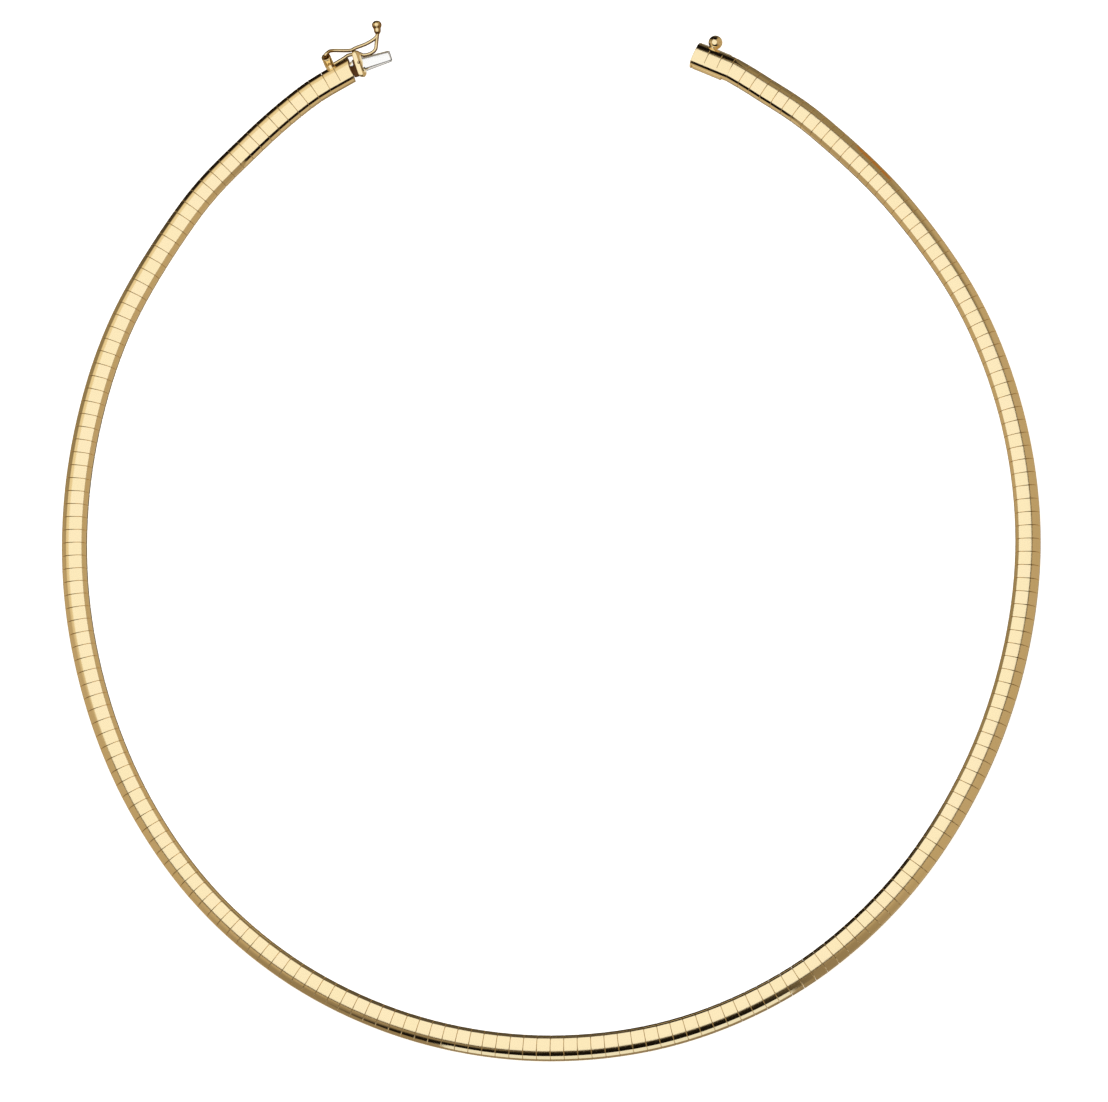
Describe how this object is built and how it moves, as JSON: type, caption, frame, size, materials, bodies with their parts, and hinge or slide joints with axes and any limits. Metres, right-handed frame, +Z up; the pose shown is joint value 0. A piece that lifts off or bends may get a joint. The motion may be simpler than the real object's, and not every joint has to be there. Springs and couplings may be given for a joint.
{
  "type": "omega necklace",
  "caption": "Flat omega necklace of crowned plates folded over a woven core, with a box clasp, a folded tongue and a hinged figure-eight safety catch, lying open.",
  "frame": {"origin": "middle of the whole part's bounding box, on the surface that the necklace lies on", "axes": "+Z up from the surface, +Y from the middle of the ring towards the open ends, +X to the right seen from above, the side of the clasp box"},
  "size_m": [0.1524, 0.166, 0.0035],
  "materials": {
    "core": "satin woven yellow gold",
    "plates": "polished yellow gold",
    "clasp": "polished yellow gold",
    "wire": "polished yellow gold",
    "tongue": "polished white gold"
  },
  "bodies": {
    "necklace": {"woven_core": "core", "plates": "plates", "clasp_box": "clasp", "tongue_cap": "clasp", "tongue": "tongue", "stop_bar": "clasp"},
    "catch": {"safety_catch": "wire"}
  },
  "joints": [
    {"name": "catch_hinge", "type": "hinge", "parent": "necklace", "child": "catch", "pos_m": [-0.03443, 0.07624, 0.0007], "axis": [-0.1018, 0.3265, 0.9397], "range_deg": [0, 150]}
  ]
}
